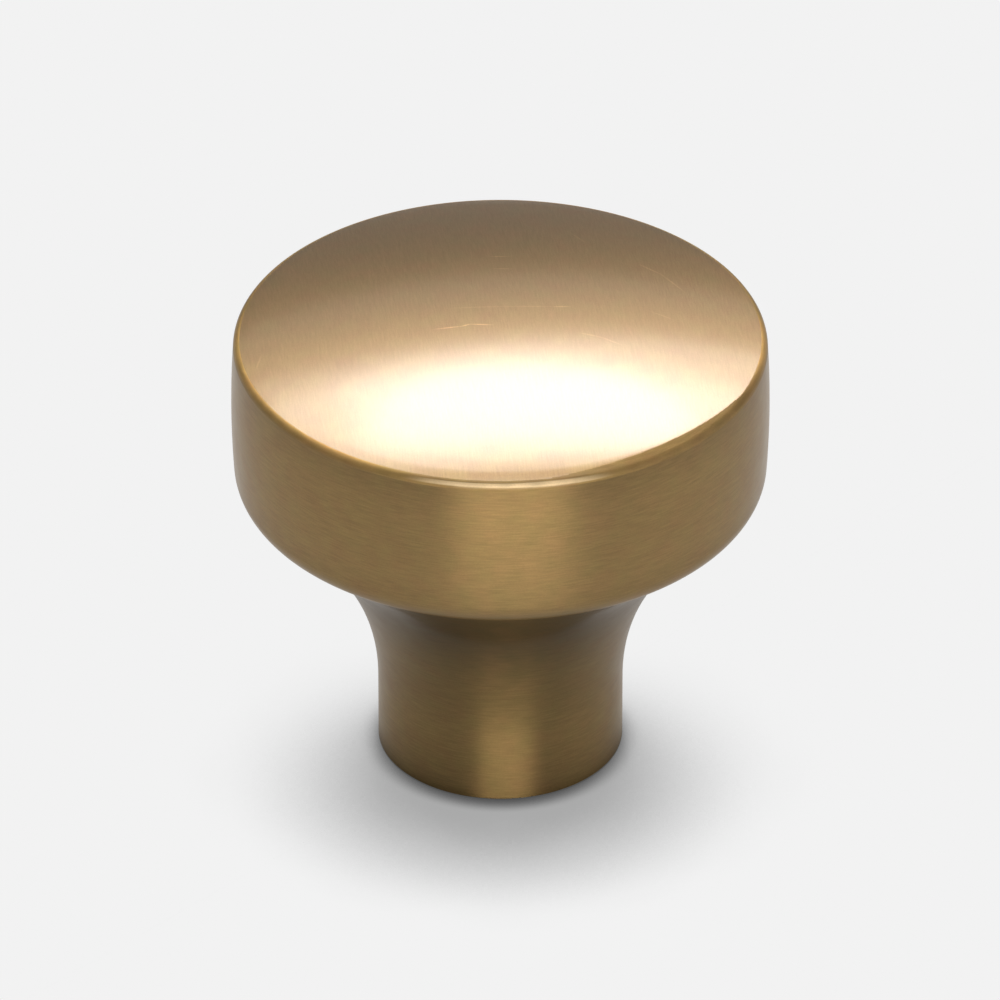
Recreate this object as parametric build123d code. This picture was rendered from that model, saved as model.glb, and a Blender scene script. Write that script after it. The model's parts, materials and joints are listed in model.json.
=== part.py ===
# Turned brass cabinet knob: a straight stem that flares into a round, slightly domed head.
# Millimetres. The stem's flat base lies on z = 0, centred on the Z axis, and the head is above it.
import math
import os

from build123d import *

# Head
head_diameter = 32.0  # widest, half way up the side
side_height = 9.5  # from the corner below the side to the rim, before either is rounded
side_bulge = 0.18  # how far the middle of the side stands out from its two ends
dome_rise = 1.9  # crown above the rim
rim_round = 0.5
lower_edge_round = 1.8

# Stem
stem_diameter = 14.75
stem_straight = 4.3  # straight part, from the base to where the flare starts
flare_height = 14.3  # from the end of the straight part to the corner below the side
base_edge_break = 0.1  # chamfer round the foot

# Tapped hole for the M4 screw that holds the knob from behind
tap_drill_diameter = 3.3
hole_depth = 13.0  # full diameter, from the base
drill_point_angle = 118.0
mouth_diameter = 4.4  # countersunk
mouth_angle = 90.0

# Points of the section, as radius and height
stem_radius = stem_diameter / 2
side_end_radius = head_diameter / 2 - side_bulge
lower_corner_z = stem_straight + flare_height
rim_corner_z = lower_corner_z + side_height
lower_corner = (side_end_radius, lower_corner_z)
side_middle = (head_diameter / 2, lower_corner_z + side_height / 2)
rim_corner = (side_end_radius, rim_corner_z)
crown = (0, rim_corner_z + dome_rise)

hole_radius = tap_drill_diameter / 2
mouth_radius = mouth_diameter / 2
mouth_depth = (mouth_radius - hole_radius) / math.tan(math.radians(mouth_angle / 2))
drill_point = hole_radius / math.tan(math.radians(drill_point_angle / 2))

# One half of the section, turned about Z. The stem runs tangent into the flare.
with BuildPart() as knob:
    with BuildSketch(Plane.XZ) as section:
        with BuildLine():
            foot = Polyline(
                (mouth_radius, 0),
                (stem_radius - base_edge_break, 0),
                (stem_radius, base_edge_break),
                (stem_radius, stem_straight),
            )
            flare = TangentArc(foot @ 1, lower_corner, tangent=(0, 1))
            side = ThreePointArc(lower_corner, side_middle, rim_corner)
            dome = TangentArc(crown, rim_corner, tangent=(1, 0))
            hole = Polyline(
                crown,
                (0, hole_depth + drill_point),
                (hole_radius, hole_depth),
                (hole_radius, mouth_depth),
                foot @ 0,
            )
        make_face()
        corners = section.vertices()
        fillet(corners.sort_by_distance(lower_corner)[0], lower_edge_round)
        corners = section.vertices()
        fillet(corners.sort_by_distance(rim_corner)[0], rim_round)
    revolve(axis=Axis.Z)

os.makedirs("parts", exist_ok=True)
export_step(knob.part, "parts/knob.step")
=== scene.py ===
import json
import math

import bmesh
import bpy
from mathutils import Matrix, Vector
from mathutils.geometry import intersect_sphere_sphere_2d


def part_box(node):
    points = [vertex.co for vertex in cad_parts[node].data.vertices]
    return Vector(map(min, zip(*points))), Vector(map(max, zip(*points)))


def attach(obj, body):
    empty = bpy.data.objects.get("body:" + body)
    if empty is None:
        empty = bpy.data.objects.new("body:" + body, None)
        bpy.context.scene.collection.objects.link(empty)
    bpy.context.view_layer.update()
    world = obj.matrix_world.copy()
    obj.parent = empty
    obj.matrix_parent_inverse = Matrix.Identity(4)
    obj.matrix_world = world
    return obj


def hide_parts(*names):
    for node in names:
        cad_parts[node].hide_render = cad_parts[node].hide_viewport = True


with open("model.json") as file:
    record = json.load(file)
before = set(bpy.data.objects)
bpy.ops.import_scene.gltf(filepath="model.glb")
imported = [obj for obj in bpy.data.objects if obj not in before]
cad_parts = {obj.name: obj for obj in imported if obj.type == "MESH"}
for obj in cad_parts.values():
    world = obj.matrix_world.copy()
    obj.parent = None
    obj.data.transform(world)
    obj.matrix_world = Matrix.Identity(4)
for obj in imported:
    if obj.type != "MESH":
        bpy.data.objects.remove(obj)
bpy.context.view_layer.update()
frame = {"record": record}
mm = 0.001
mergeGap = 0.0005  # mm, under which two points of a piece are one
noiseSpan = (0.25, 0.75)  # where most of a noise texture's values lie

scene = bpy.context.scene
scene.view_settings.view_transform = "Standard"


def hexColour(text):  # sRGB hex to the linear values that shaders take
    parts = [int(text[i:i + 2], 16) / 255 for i in (1, 3, 5)]
    return [c / 12.92 if c <= 0.04045 else ((c + 0.055) / 1.055) ** 2.4 for c in parts] + [1.0]


def addNode(tree, kind, inputs=None, **settings):  # a value is set on its socket, a socket is linked
    node = tree.nodes.new(kind)
    for name, value in settings.items():
        setattr(node, name, value)
    for socket, value in (inputs or {}).items():
        if isinstance(value, bpy.types.NodeSocket):
            tree.links.new(value, node.inputs[socket])
        else:
            node.inputs[socket].default_value = value
    return node


def newTree(name):  # an empty material, its tree and its output
    material = bpy.data.materials.new(name)
    material.use_nodes = True
    material.node_tree.nodes.clear()
    return material, material.node_tree, addNode(material.node_tree, "ShaderNodeOutputMaterial")


def linkObject(name, data):
    made = bpy.data.objects.new(name, data)
    scene.collection.objects.link(made)
    return made


# camera: a long lens in front of the knob, looking down on it
cameraSet = {
    "aim": (-0.026, 0.0, 16.69),  # mm
    "distance": 687.8,  # mm
    "elevation": 33.31,  # degrees
    "lens": 414.4,  # mm on the sensor below
    "sensor": 36.0,
}


def placeCamera():
    data = bpy.data.cameras.new("productCamera")
    data.lens = cameraSet["lens"]
    data.sensor_width = cameraSet["sensor"]
    camera = linkObject("productCamera", data)
    tilt = math.radians(cameraSet["elevation"])
    back = Vector((0, -math.cos(tilt), math.sin(tilt)))
    camera.location = (Vector(cameraSet["aim"]) + back * cameraSet["distance"]) * mm
    camera.rotation_euler = back.to_track_quat("Z", "Y").to_euler()
    scene.camera = camera
    print("camera placed")


# the turned knob, in mm until it is scaled at the end
knobLow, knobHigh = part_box("knob")
screwHole = next(m for m in frame["record"]["mounts"] if m["name"] == "screw_hole")
knobSet = {
    "headRadius": (knobHigh.x - knobLow.x) / 2 / mm,
    "crown": knobHigh.z / mm,
    "domeRise": 1.9,
    "sideHeight": 9.5,
    "sideBulge": 0.18,  # middle of the side beyond its ends
    "rimRound": 0.5,
    "lowerRound": 1.8,
    "stemRadius": 7.375,
    "stemStraight": 4.3,
    "footBreak": 0.1,
    "holeRadius": screwHole["dims"]["r_mm"],
    "holeDepth": 13.0,
    "drillAngle": 118.0,
    "mouthRadius": 2.2,
    "turnSteps": 192,  # round the axis
    "crownSteps": 30,  # along each arc of the section, from the crown's middle to the stem
    "crownEdgeSteps": 48,
    "rimSteps": 12,
    "sideSteps": 20,
    "lowerSteps": 16,
    "flareSteps": 40,
    "sharpAngle": 35.0,  # degrees between faces, above which an edge isn't shaded smooth
    "brushTurn": 6.5,  # degrees that the crown's brush lines are turned from front to back
    "crownSlope": 0.955,  # upward part of the normal, above which a face is the crown's
    "rimSlope": 0.1,  # and above which it is the rim's
    "flareSlope": -0.8,  # on the rounded lower edge, where the stem's finish starts
    "footSlope": -0.5,  # below which a face of the stem is the foot's
}
rollSet = {  # the crown's edge, which the polishing turned down a little, and more at the right front
    "rolls": (  # mm: the circle that each starts on, and how gently it turns to its slope
        {"centre": (-2.77, 3.55), "radius": 19.5, "blend": 0.12, "slope": 0.15},
        {"centre": (0.0, 0.0), "radius": 14.7, "blend": 0.4, "slope": 0.03},
    ),
    "fineFrom": 13.8,  # mm from the axis, where the crown's rings are closer
}
tapSet = {  # M4 thread in the hole
    "majorRadius": 2.0,
    "pitch": 0.7,
    "coreRadius": 1.55,  # a little inside the drilled wall
    "flankAngle": 30.0,  # degrees from square to the axis
    "bottom": -1.0,
    "top": 11.5,
    "stepsPerTurn": 72,
}
sideSlot, stemSlot, crownSlot, rimSlot, facedSlot = range(5)  # material slots on the knob


def swing(bm, vert, centre, toward, steps):  # draws an arc from vert about centre until it faces toward
    start = math.atan2(vert.co.x - centre.x, vert.co.z - centre.y)
    end = math.atan2(toward.x - centre.x, toward.y - centre.y)
    turn = (end - start + math.pi) % math.tau - math.pi
    made = bmesh.ops.spin(bm, geom=[vert], cent=(centre.x, 0, centre.y), axis=(0, 1, 0),
                          angle=turn, steps=steps)
    return next(g for g in made["geom_last"] if isinstance(g, bmesh.types.BMVert))


def run(bm, vert, radius, height):  # draws a straight line from vert to a new one
    made = bmesh.ops.extrude_vert_indiv(bm, verts=[vert])["verts"][0]
    made.co = (radius, 0, height)
    return made


def highest(points):
    return max(points, key=lambda p: p.y)


def drawSection(bm, s):  # half of the section as a chain of edges, from the crown to the tip of the hole
    rimHeight = s["crown"] - s["domeRise"]
    cornerHeight = rimHeight - s["sideHeight"]
    endRadius = s["headRadius"] - s["sideBulge"]
    domeRadius = (endRadius ** 2 + s["domeRise"] ** 2) / (2 * s["domeRise"])
    domeCentre = Vector((0, s["crown"] - domeRadius))
    sideRadius = ((s["sideHeight"] / 2) ** 2 + s["sideBulge"] ** 2) / (2 * s["sideBulge"])
    sideCentre = Vector((s["headRadius"] - sideRadius, (rimHeight + cornerHeight) / 2))
    reach = endRadius - s["stemRadius"]
    rise = cornerHeight - s["stemStraight"]
    flareRadius = (reach ** 2 + rise ** 2) / (2 * reach)
    flareCentre = Vector((s["stemRadius"] + flareRadius, s["stemStraight"]))
    rim = highest(intersect_sphere_sphere_2d(
        domeCentre, domeRadius - s["rimRound"], sideCentre, sideRadius - s["rimRound"]))
    lower = highest(intersect_sphere_sphere_2d(
        sideCentre, sideRadius - s["lowerRound"], flareCentre, flareRadius + s["lowerRound"]))
    mouthDepth = s["mouthRadius"] - s["holeRadius"]  # countersunk at 45 degrees
    tip = s["holeDepth"] + s["holeRadius"] / math.tan(math.radians(s["drillAngle"] / 2))
    fineFrom = rollSet["fineFrom"]
    edgeStart = domeCentre + Vector((fineFrom, math.sqrt(domeRadius ** 2 - fineFrom ** 2)))

    vert = bm.verts.new((0, 0, s["crown"]))
    vert = swing(bm, vert, domeCentre, edgeStart, s["crownSteps"])
    vert = swing(bm, vert, domeCentre, rim, s["crownEdgeSteps"])
    vert = swing(bm, vert, rim, rim * 2 - sideCentre, s["rimSteps"])
    vert = swing(bm, vert, sideCentre, lower, s["sideSteps"])
    vert = swing(bm, vert, lower, flareCentre, s["lowerSteps"])
    vert = swing(bm, vert, flareCentre, Vector((0, s["stemStraight"])), s["flareSteps"])
    vert = run(bm, vert, s["stemRadius"], s["footBreak"])
    vert = run(bm, vert, s["stemRadius"] - s["footBreak"], 0)
    vert = run(bm, vert, s["mouthRadius"], 0)
    vert = run(bm, vert, s["holeRadius"], mouthDepth)
    vert = run(bm, vert, s["holeRadius"], s["holeDepth"])
    run(bm, vert, 0, tip)
    return rim, lower


def tapCutter(s):  # the tap as a closed helical rod, which cuts the thread into the hole's wall
    bm = bmesh.new()
    flank = math.tan(math.radians(s["flankAngle"]))
    middle = s["pitch"] / 2
    rootHalf = s["pitch"] / 16  # the flat at the thread's root is an eighth of the pitch wide
    coreHalf = rootHalf + (s["majorRadius"] - s["coreRadius"]) * flank
    low = s["bottom"] - s["pitch"]
    ridge = [  # radius and height, over one pitch
        (s["coreRadius"], 0),
        (s["coreRadius"], middle - coreHalf),
        (s["majorRadius"], middle - rootHalf),
        (s["majorRadius"], middle + rootHalf),
        (s["coreRadius"], middle + coreHalf),
        (s["coreRadius"], s["pitch"]),
    ]
    points = [bm.verts.new((r, 0, low + z)) for r, z in ridge]
    edges = [bm.edges.new(pair) for pair in zip(points, points[1:])]
    turns = math.ceil((s["top"] - low) / s["pitch"]) + 1
    bmesh.ops.spin(bm, geom=points + edges, cent=(0, 0, 0), axis=(0, 0, 1), angle=math.tau * turns,
                   steps=turns * s["stepsPerTurn"], dvec=(0, 0, s["pitch"] / s["stepsPerTurn"]))
    bmesh.ops.remove_doubles(bm, verts=bm.verts, dist=mergeGap)
    for height, upper in ((s["bottom"], False), (s["top"], True)):
        bmesh.ops.bisect_plane(bm, geom=bm.verts[:] + bm.edges[:] + bm.faces[:], plane_co=(0, 0, height),
                               plane_no=(0, 0, 1), clear_outer=upper, clear_inner=not upper)
    bmesh.ops.holes_fill(bm, edges=[e for e in bm.edges if e.is_boundary], sides=0)
    bmesh.ops.recalc_face_normals(bm, faces=bm.faces)
    for face in bm.faces:
        face.material_index = facedSlot
    bmesh.ops.scale(bm, vec=(mm, mm, mm), verts=bm.verts)
    mesh = bpy.data.meshes.new("tapCutter")
    bm.to_mesh(mesh)
    bm.free()
    return linkObject("tapCutter", mesh)


def rollEdge(bm, rimHeight):  # lowers the points past each roll's circle
    for vert in [v for v in bm.verts if v.co.z > rimHeight]:
        share = min(1, (vert.co.z - rimHeight) / knobSet["rimRound"])  # none where the rim meets the side
        for roll in rollSet["rolls"]:
            past = (vert.co.xy - Vector(roll["centre"])).length - roll["radius"]
            if past > 0:
                vert.co.z -= share * roll["slope"] * (math.hypot(past, roll["blend"]) - roll["blend"])


def turnKnob():
    bm = bmesh.new()
    rim, lower = drawSection(bm, knobSet)
    bmesh.ops.spin(bm, geom=bm.verts[:] + bm.edges[:], cent=(0, 0, 0), axis=(0, 0, 1), angle=math.tau,
                   steps=knobSet["turnSteps"], use_merge=True)
    bmesh.ops.remove_doubles(bm, verts=bm.verts, dist=mergeGap)
    rollEdge(bm, rim.y)
    bmesh.ops.recalc_face_normals(bm, faces=bm.faces)
    brushUv = bm.loops.layers.uv.new("brushUv")  # u runs across the crown's brush lines
    turnBack = Matrix.Rotation(-math.radians(knobSet["brushTurn"]), 2)
    for face in bm.faces:
        centre = face.calc_center_median()
        if centre.z > rim.y and face.normal.z > knobSet["crownSlope"]:
            face.material_index = crownSlot
        elif centre.z > rim.y and face.normal.z > knobSet["rimSlope"]:
            face.material_index = rimSlot
        elif centre.xy.length < knobSet["mouthRadius"]:
            face.material_index = facedSlot
        elif face.normal.z < knobSet["footSlope"] and centre.z < knobSet["stemStraight"]:
            face.material_index = facedSlot
        elif centre.z < lower.y + knobSet["flareSlope"] * knobSet["lowerRound"]:
            face.material_index = stemSlot
        for loop in face.loops:
            loop[brushUv].uv = turnBack @ loop.vert.co.xy / knobSet["headRadius"]
    bmesh.ops.scale(bm, vec=(mm, mm, mm), verts=bm.verts)
    mesh = bpy.data.meshes.new("turned_knob")
    bm.to_mesh(mesh)
    bm.free()
    knob = linkObject("turned_knob", mesh)
    tap = tapCutter(tapSet)
    cut = knob.modifiers.new("thread", "BOOLEAN")
    cut.object = tap
    cut.solver = "EXACT"
    threaded = knob.evaluated_get(bpy.context.evaluated_depsgraph_get())
    knob.data = bpy.data.meshes.new_from_object(threaded)
    knob.modifiers.clear()
    bpy.data.objects.remove(tap)
    knob.data.shade_smooth()
    knob.data.set_sharp_from_angle(angle=math.radians(knobSet["sharpAngle"]))
    for material in (sideBrass(), stemBrass(), crownBrass(), rimBrass(), facedBrass()):
        knob.data.materials.append(material)
    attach(knob, "root")
    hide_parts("knob")
    print("knob turned", len(knob.data.polygons), "faces")


# satin brass under clear lacquer: soft streaked reflections in the metal, a white sheen from the lacquer
brassSet = {
    "driftSize": 1.3,  # mm, patches where the alloy looks a little more olive or more tawny
    "roughnessDrift": 0.05,
    "lineTone": 0.11,  # how much the brush lines darken and lighten the metal
    "lineSpacing": 0.08,  # mm; real lines are finer, and are drawn coarse enough to show
    "lineLength": 1.2,  # mm
    "lineDepth": 0.002,  # mm
    "grainTone": 0.05,
    "grainSize": 0.1,  # mm; coarser than the real grit for the same reason
    "latheTurn": 0.25,  # of a full turn, by which reflections on the lathe's lines smear up and down
}


def satinBrass(tree, out, s, place, lines, tone, tangent=None, turn=0.0, crestGlint=None):
    b = brassSet
    low, high = noiseSpan
    drift, grain = [addNode(tree, "ShaderNodeTexNoise", {
        "Vector": place, "Scale": 1 / (size * mm), "Detail": 1.0}).outputs["Fac"]
        for size in (b["driftSize"], b["grainSize"])]
    for noise, depth in ((lines, b["lineTone"]), (grain, b["grainTone"])):
        streaks = addNode(tree, "ShaderNodeMapRange", {
            "Value": noise, "From Min": low, "From Max": high,
            "To Min": 1 - depth, "To Max": 1 + depth}).outputs[0]
        tone = addNode(tree, "ShaderNodeMath", {0: tone, 1: streaks}, operation="MULTIPLY").outputs[0]
    alloy = addNode(tree, "ShaderNodeMix", {0: drift, 6: hexColour(s["olive"]), 7: hexColour(s["tawny"])},
                    data_type="RGBA").outputs[2]
    if crestGlint:  # share of the metal given the pale colour of a painted highlight
        alloy = addNode(tree, "ShaderNodeMix", {0: crestGlint, 6: alloy, 7: hexColour(s["crestGlint"])},
                        data_type="RGBA").outputs[2]
    metal = addNode(tree, "ShaderNodeVectorMath", {0: alloy, "Scale": tone}, operation="SCALE").outputs[0]
    rough = addNode(tree, "ShaderNodeMapRange", {
        "Value": drift, "To Min": s["roughness"] - b["roughnessDrift"],
        "To Max": s["roughness"] + b["roughnessDrift"]}).outputs[0]
    relief = addNode(tree, "ShaderNodeBump", {
        "Height": lines, "Distance": b["lineDepth"] * mm}).outputs[0]
    brass = addNode(tree, "ShaderNodeBsdfPrincipled", {
        "Base Color": metal,
        "Metallic": 1.0,
        "Roughness": rough,
        "Normal": relief,
        "Specular Tint": hexColour(s["edgeTint"]),
        "Anisotropic": s["anisotropy"],
        "Anisotropic Rotation": turn,
        "Coat Weight": s["lacquer"],
        "Coat Roughness": s["lacquerRoughness"],
        "Coat IOR": s["lacquerIor"],
    })
    if tangent:
        tree.links.new(tangent, brass.inputs["Tangent"])
    tree.links.new(brass.outputs["BSDF"], out.inputs["Surface"])


def latheLines(tree, place):  # short lines that run round the axis
    b = brassSet
    flat = addNode(tree, "ShaderNodeSeparateXYZ", {0: place}).outputs
    across = addNode(tree, "ShaderNodeCombineXYZ", {0: flat[0], 1: flat[1]}).outputs[0]
    radius = addNode(tree, "ShaderNodeVectorMath", {0: across}, operation="LENGTH").outputs["Value"]
    along = addNode(tree, "ShaderNodeMath", {0: radius, 1: flat[2]}, operation="ADD").outputs[0]
    lathe = addNode(tree, "ShaderNodeCombineXYZ", {0: flat[0], 1: flat[1], 2: along}).outputs[0]
    length, spacing = 1 / (b["lineLength"] * mm), 1 / (b["lineSpacing"] * mm)
    scaled = addNode(tree, "ShaderNodeMapping", {0: lathe, "Scale": (length, length, spacing)}).outputs[0]
    noise = addNode(tree, "ShaderNodeTexNoise", {"Vector": scaled, "Scale": 1.0, "Detail": 1.0})
    return noise.outputs["Fac"]


# side of the head: brushed on the lathe, so reflections smear up and down
sideSet = {
    "olive": "#887344",
    "tawny": "#8f6f46",
    "edgeTint": "#e4ded8",  # at glancing angles, where the metal keeps some of its colour
    "roughness": 0.35,
    "anisotropy": 0.8,
    "lacquer": 0.3,
    "lacquerRoughness": 0.15,
    "lacquerIor": 1.55,
    "endShadeTone": 0.85,  # painted shade: darker at the side's upper and lower ends, against its middle
    "endReach": (2.0, 4.8),  # mm from the middle, where it fades in
}


def sideBrass():
    s, k = sideSet, knobSet
    material, tree, out = newTree("latheBrushedBrass")
    place = addNode(tree, "ShaderNodeTexCoord").outputs["Object"]
    height = addNode(tree, "ShaderNodeSeparateXYZ", {0: place}).outputs[2]
    middle = (k["crown"] - k["domeRise"] - k["sideHeight"] / 2) * mm
    offset = addNode(tree, "ShaderNodeMath", {0: height, 1: middle}, operation="SUBTRACT").outputs[0]
    away = addNode(tree, "ShaderNodeMath", {0: offset}, operation="ABSOLUTE").outputs[0]
    near, far = s["endReach"]
    # painted shade: the tone falls toward the side's upper and lower ends
    tone = addNode(tree, "ShaderNodeMapRange", {
        "Value": away, "From Min": near * mm, "From Max": far * mm,
        "To Min": 1.0, "To Max": s["endShadeTone"]},
        interpolation_type="SMOOTHSTEP").outputs[0]
    tangent = addNode(tree, "ShaderNodeTangent", direction_type="RADIAL", axis="Z").outputs[0]
    satinBrass(tree, out, s, place, latheLines(tree, place), tone, tangent, turn=brassSet["latheTurn"])
    return material


# flare and stem: the same brushing with less lacquer, with painted shade that darkens the stem and darkens
# the flare more toward the head, under its overhang
stemSet = {
    "olive": "#887344",
    "tawny": "#8f6f46",
    "edgeTint": "#f0ece8",
    "roughness": 0.4,
    "anisotropy": 0.85,
    "lacquer": 0.22,
    "lacquerRoughness": 0.15,
    "lacquerIor": 1.55,
    "footShadeTone": 0.82,  # painted shade: the stem's tone against the side of the head
    "fades": ((3.0, 8.0, 0.8), (7.5, 14.5, 0.48)),  # painted shade deepening toward the head: mm from and to, and what is left of the tone above
}


def stemBrass():
    s = stemSet
    material, tree, out = newTree("underHeadShadedBrass")
    place = addNode(tree, "ShaderNodeTexCoord").outputs["Object"]
    height = addNode(tree, "ShaderNodeSeparateXYZ", {0: place}).outputs[2]
    # painted shade: the stem darker than the side, and darker still toward the head
    tone = s["footShadeTone"]
    for start, end, left in s["fades"]:
        fade = addNode(tree, "ShaderNodeMapRange", {
            "Value": height, "From Min": start * mm, "From Max": end * mm, "To Min": 1.0, "To Max": left},
            interpolation_type="SMOOTHSTEP").outputs[0]
        tone = addNode(tree, "ShaderNodeMath", {0: tone, 1: fade}, operation="MULTIPLY").outputs[0]
    tangent = addNode(tree, "ShaderNodeTangent", direction_type="RADIAL", axis="Z").outputs[0]
    satinBrass(tree, out, s, place, latheLines(tree, place), tone, tangent, turn=brassSet["latheTurn"])
    return material


# crown: brushed straight from front to back, so reflections smear left and right, with a few pale scratches
crownSet = {
    "olive": "#ab8f5a",
    "tawny": "#b0895d",
    "edgeTint": "#ffffff",
    "roughness": 0.55,
    "anisotropy": 0.8,
    "lacquer": 1.0,
    "lacquerRoughness": 0.15,
    "lacquerIor": 1.7,  # higher than a clear lacquer's, matched to the white middle of the reflections
    "sweepSpread": 4.0,  # degrees that two sweeps of the brush lie each side of its main direction
    "scratchWidth": 0.09,  # mm, each side of the middle
    "scratchReach": 0.7,  # from its middle to its faded end, against the length of its stretch
    "scratchTone": 0.7,  # how much paler the metal is in the brightest
    "scratches": (  # brightness, then points in mm on the crown
        (1.0, (-3.8, -1.7), (-2.3, -1.5), (-1.8, -1.3), (-0.5, -1.4)),
        (0.6, (-0.6, 6.7), (0.5, 6.7)),
        (0.5, (-0.4, 5.1), (0.7, 5.1)),
        (0.3, (-2.7, 0.5), (0.3, 0.6), (3.2, 0.7)),
        (0.7, (3.2, 0.7), (4.1, 0.8)),
        (0.4, (4.7, -2.0), (5.9, -2.3), (7.1, -2.9)),
        (0.5, (8.3, 6.6), (9.6, 5.6), (10.8, 4.0)),
        (0.3, (8.9, 1.0), (10.2, 0.4)),
        (0.3, (4.2, 10.3), (5.1, 9.0)),
        (0.4, (-14.4, -3.7), (-14.1, -2.3)),
    ),
}


def scratchTone(tree, s, place):  # a thin streak on each stretch of each scratch, which fades to its ends
    tone = 1.0
    for brightness, *points in s["scratches"]:
        for start, end in zip(points, points[1:]):
            way = Vector(end) - Vector(start)
            middle = (Vector(end) + Vector(start)) / 2 * mm
            streak = addNode(tree, "ShaderNodeMapping", {
                0: place, "Location": middle.to_3d(), "Rotation": (0, 0, math.atan2(way.y, way.x)),
                "Scale": (way.length * s["scratchReach"] * mm, s["scratchWidth"] * mm, 1.0)},
                vector_type="TEXTURE").outputs[0]
            fade = addNode(tree, "ShaderNodeTexGradient", {0: streak}, gradient_type="SPHERICAL")
            tone = addNode(tree, "ShaderNodeMath", {
                0: fade.outputs["Fac"], 1: brightness * s["scratchTone"], 2: tone},
                operation="MULTIPLY_ADD").outputs[0]
    return tone


def crownBrass():
    s, b = crownSet, brassSet
    material, tree, out = newTree("straightBrushedBrass")
    place = addNode(tree, "ShaderNodeTexCoord").outputs["Object"]
    length, spacing = 1 / (b["lineLength"] * mm), 1 / (b["lineSpacing"] * mm)
    sweeps = []
    for spread in (-s["sweepSpread"], s["sweepSpread"]):
        turn = math.radians(knobSet["brushTurn"] + spread)
        turned = addNode(tree, "ShaderNodeMapping", {0: place, "Rotation": (0, 0, -turn)}).outputs[0]
        scaled = addNode(tree, "ShaderNodeMapping", {
            0: turned, "Scale": (spacing, length, length)}).outputs[0]
        sweep = addNode(tree, "ShaderNodeTexNoise", {"Vector": scaled, "Scale": 1.0, "Detail": 1.0})
        sweeps.append(sweep.outputs["Fac"])
    lines = addNode(tree, "ShaderNodeMix", {0: 0.5, 2: sweeps[0], 3: sweeps[1]}).outputs[0]  # half of each
    tangent = addNode(tree, "ShaderNodeTangent", direction_type="UV_MAP", uv_map="brushUv").outputs[0]
    satinBrass(tree, out, s, place, lines, scratchTone(tree, s, place), tangent)
    return material


# rim: a smooth rounded edge that fades from crown to side, with painted sheen toward the crown and a
# painted highlight along its front crest
rimSet = {
    "olive": "#887344",
    "tawny": "#8f6f46",
    "crestGlint": "#d9bf95",  # pale colour of the painted highlight on the front crest
    "edgeTint": "#ffffff",
    "roughness": 0.6,
    "anisotropy": 0.0,
    "lacquer": 0.2,
    "lacquerRoughness": 0.2,
    "lacquerIor": 1.55,
    "tone": 1.05,  # against the side's
    "slopes": (0.2, 0.95),  # upward part of the normal, at the side and at the crown
    "crownSheenTone": 2.4,  # painted sheen: brighter toward the crown, carrying the crown's reflection into the rim
    "backSheenTone": 1.4,  # the same painted sheen, weaker along the back
    # each stretch: where it faces, in degrees right of the front, and mm of turned Y over which it fades in
    "back": {"turn": 180.0, "from": 1.0, "to": -4.0},
    # the front stretch, where the painted sheen gives way to the rim's plain tone
    "plainFront": {"turn": 25.0, "from": -7.9, "to": -12.1},
    # the front stretch where the crest gets its painted highlight
    "bright": {"turn": 2.0, "from": -14.4, "to": -15.5},
    "crest": ((0.34, 0.56), (0.87, 0.76)),  # slopes where the crest's painted highlight fades in and out
}


def rimBrass():
    s = rimSet
    material, tree, out = newTree("rimBrassPaintedSheen")
    coords = addNode(tree, "ShaderNodeTexCoord").outputs
    slope = addNode(tree, "ShaderNodeSeparateXYZ", {0: coords["Normal"]}).outputs[2]
    fades = [(slope, *s["slopes"]), (slope, *s["crest"][0]), (slope, *s["crest"][1])]
    for stretch in (s["back"], s["plainFront"], s["bright"]):
        turned = addNode(tree, "ShaderNodeMapping", {
            0: coords["Object"], "Rotation": (0, 0, -math.radians(stretch["turn"]))}).outputs[0]
        forward = addNode(tree, "ShaderNodeSeparateXYZ", {0: turned}).outputs[1]
        fades.append((forward, stretch["from"] * mm, stretch["to"] * mm))
    upper, inner, outer, back, plainFront, bright = [
        addNode(tree, "ShaderNodeMapRange", {"Value": value, "From Min": start, "From Max": end},
                interpolation_type="SMOOTHSTEP").outputs[0] for value, start, end in fades]
    # painted sheen toward the crown, which gives way to the plain tone along the front
    pale = addNode(tree, "ShaderNodeMix", {0: back, 2: s["crownSheenTone"], 3: s["backSheenTone"]}).outputs[0]
    faded = addNode(tree, "ShaderNodeMix", {0: upper, 2: s["tone"], 3: pale}).outputs[0]
    tone = addNode(tree, "ShaderNodeMix", {0: plainFront, 2: faded, 3: s["tone"]}).outputs[0]
    # painted highlight along the front crest
    crest = addNode(tree, "ShaderNodeMath", {0: inner, 1: outer}, operation="MULTIPLY").outputs[0]
    crestGlint = addNode(tree, "ShaderNodeMath", {0: crest, 1: bright}, operation="MULTIPLY").outputs[0]
    place = coords["Object"]
    satinBrass(tree, out, s, place, latheLines(tree, place), tone, crestGlint=crestGlint)
    return material


# bare brass, faced on the lathe: the tool leaves fine rings on the foot, and the thread is bright
facedSet = {
    "metal": "#a08454",
    "roughness": 0.3,
    "ringSpacing": 0.12,  # mm, the tool's feed for each turn
    "ringTone": 0.2,
    "ringDepth": 0.004,  # mm
}


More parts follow.
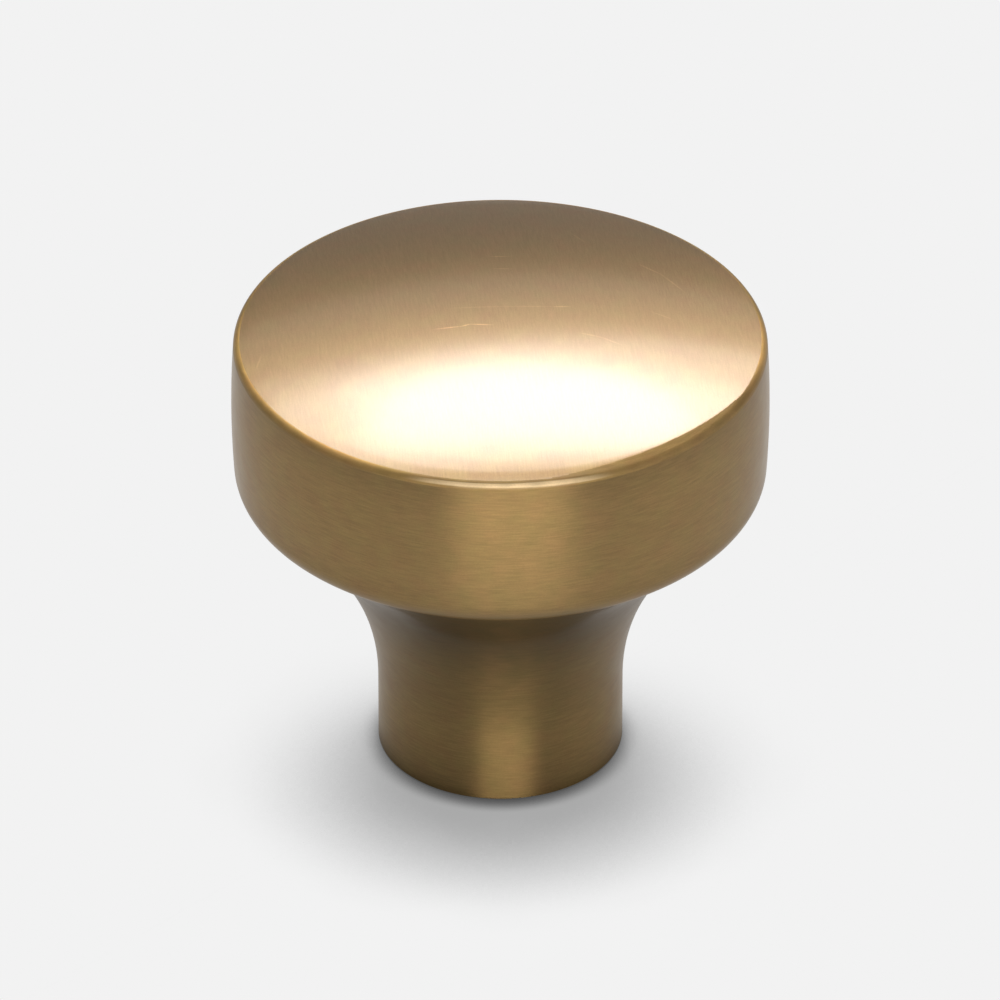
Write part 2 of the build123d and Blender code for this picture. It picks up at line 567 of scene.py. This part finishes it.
def facedBrass():
    s = facedSet
    material, tree, out = newTree("facedBrass")
    place = addNode(tree, "ShaderNodeTexCoord").outputs["Object"]
    flat = addNode(tree, "ShaderNodeSeparateXYZ", {0: place}).outputs
    across = addNode(tree, "ShaderNodeCombineXYZ", {0: flat[0], 1: flat[1]}).outputs[0]
    radius = addNode(tree, "ShaderNodeVectorMath", {0: across}, operation="LENGTH").outputs["Value"]
    rings = addNode(tree, "ShaderNodeTexNoise", {
        "W": radius, "Scale": 1 / (s["ringSpacing"] * mm), "Detail": 2.0},
        noise_dimensions="1D").outputs["Fac"]
    low, high = noiseSpan
    tone = addNode(tree, "ShaderNodeMapRange", {
        "Value": rings, "From Min": low, "From Max": high,
        "To Min": 1 - s["ringTone"], "To Max": 1 + s["ringTone"]}).outputs[0]
    metal = addNode(tree, "ShaderNodeVectorMath", {0: hexColour(s["metal"])[:3], "Scale": tone},
                    operation="SCALE").outputs[0]
    relief = addNode(tree, "ShaderNodeBump", {
        "Height": rings, "Distance": s["ringDepth"] * mm}).outputs[0]
    brass = addNode(tree, "ShaderNodeBsdfPrincipled", {
        "Base Color": metal, "Metallic": 1.0, "Roughness": s["roughness"], "Normal": relief})
    tree.links.new(brass.outputs["BSDF"], out.inputs["Surface"])
    return material


# pale card floor: it shows at its own colour, with the soft shade that the knob leaves on it
floorSet = {
    "colour": "#f2f2f2",
    "size": 3.0,  # metres
    "drop": 0.02,  # mm below the foot
    "shadeLean": 45.0,  # degrees that the open light leans to the back, so the shade falls to the front
    "shadeSamples": 16,
    # a wide soft shade and a dark one at the foot: mm, open share that fades, and card's brightness left
    "shades": (
        {"reach": 14.0, "open": (0.5, 0.96), "depth": 0.45},
        {"reach": 1.4, "open": (0.25, 1.0), "depth": 0.22},
    ),
}


def layFloor():
    s = floorSet
    bm = bmesh.new()
    bmesh.ops.create_grid(bm, x_segments=1, y_segments=1, size=s["size"] / 2)
    bmesh.ops.translate(bm, vec=(0, 0, -s["drop"] * mm), verts=bm.verts)
    mesh = bpy.data.meshes.new("floor")
    bm.to_mesh(mesh)
    bm.free()
    floor = linkObject("floor", mesh)
    material, tree, out = newTree("paleCard")
    lean = math.radians(s["shadeLean"])
    leaned = addNode(tree, "ShaderNodeCombineXYZ", {1: math.sin(lean), 2: math.cos(lean)}).outputs[0]
    bright = 1.0
    for shade in s["shades"]:
        near = addNode(tree, "ShaderNodeAmbientOcclusion", {
            "Normal": leaned, "Distance": shade["reach"] * mm}, samples=s["shadeSamples"]).outputs["AO"]
        low, high = shade["open"]
        fade = addNode(tree, "ShaderNodeMapRange", {
            "Value": near, "From Min": low, "From Max": high, "To Min": shade["depth"], "To Max": 1.0},
            interpolation_type="SMOOTHSTEP").outputs[0]
        bright = addNode(tree, "ShaderNodeMath", {0: bright, 1: fade}, operation="MULTIPLY").outputs[0]
    seen = addNode(tree, "ShaderNodeLightPath").outputs
    shown = seen["Is Camera Ray"]
    for ray in ("Is Glossy Ray", "Is Transmission Ray"):  # metal mirrors the card as the camera sees it
        shown = addNode(tree, "ShaderNodeMath", {0: shown, 1: seen[ray]}, operation="MAXIMUM").outputs[0]
    card = addNode(tree, "ShaderNodeBsdfDiffuse", {"Color": hexColour(s["colour"])}).outputs[0]
    plain = addNode(tree, "ShaderNodeEmission", {
        "Color": hexColour(s["colour"]), "Strength": bright}).outputs[0]
    both = addNode(tree, "ShaderNodeMixShader", {0: shown, 1: card, 2: plain}).outputs[0]
    tree.links.new(both, out.inputs["Surface"])
    mesh.materials.append(material)
    print("floor laid")


# studio light: large soft lamps, mostly behind and above the knob, where the crown mirrors them
lampDistance = 0.6  # metres from the knob's foot
lampSets = {  # azimuth is from the camera's side to the right, in degrees; sizes are in metres
    "topSoftbox": {
        "azimuth": 175, "elevation": 49.5, "roll": 22,
        "shape": "RECTANGLE", "size": (0.46, 0.2), "level": 2.0},
    "topFill": {
        "azimuth": 180, "elevation": 51, "roll": 0,
        "shape": "RECTANGLE", "size": (0.42, 0.2), "level": 1.2},
    "topLens": {
        "azimuth": 173, "elevation": 50.5, "roll": 8,
        "shape": "RECTANGLE", "size": (0.34, 0.13), "level": 1.7},
    "topCore": {
        "azimuth": 176, "elevation": 52, "roll": 8,
        "shape": "ELLIPSE", "size": (0.26, 0.17), "level": 2.4},
    "backGlow": {
        "azimuth": 178, "elevation": 36, "roll": 12,
        "shape": "RECTANGLE", "size": (0.46, 0.19), "level": 0.3},
    "overhead": {
        "azimuth": 180, "elevation": 80, "roll": 0,
        "shape": "ELLIPSE", "size": (0.34, 0.3), "level": 2.9},
    "frontFill": {
        "azimuth": 5, "elevation": 46, "roll": 0,
        "shape": "RECTANGLE", "size": (0.5, 0.22), "level": 1.3},
    "frontSoftbox": {
        "azimuth": 5, "elevation": 8, "roll": 0,
        "shape": "RECTANGLE", "size": (0.48, 0.17), "level": 7.6},
    "rightFill": {
        "azimuth": 80, "elevation": 25, "roll": 0,
        "shape": "RECTANGLE", "size": (0.6, 0.5), "level": 0.6},
}
worldSet = {"level": 0.19, "colour": "#ffffff"}


def lightStudio():
    for name, s in lampSets.items():
        data = bpy.data.lights.new(name, "AREA")
        data.shape = s["shape"]
        data.size, data.size_y = s["size"]
        area = data.size * data.size_y
        if s["shape"] == "ELLIPSE":
            area *= math.pi / 4
        data.energy = 4 * area * s["level"]  # level is how bright it looks: a quarter of power over area
        lamp = linkObject(name, data)
        turn, tilt = math.radians(s["azimuth"]), math.radians(s["elevation"])
        out = Vector((math.sin(turn) * math.cos(tilt), -math.cos(turn) * math.cos(tilt), math.sin(tilt)))
        lamp.location = out * lampDistance
        roll = Matrix.Rotation(math.radians(s["roll"]), 3, "Z").to_quaternion()
        lamp.rotation_euler = (out.to_track_quat("Z", "Y") @ roll).to_euler()
        lamp.visible_camera = False
    world = bpy.data.worlds.new("studio")
    scene.world = world
    world.use_nodes = True
    sky = world.node_tree.nodes["Background"]
    sky.inputs["Color"].default_value = hexColour(worldSet["colour"])
    sky.inputs["Strength"].default_value = worldSet["level"]
    print("studio lit")


placeCamera()
turnKnob()
layFloor()
lightStudio()
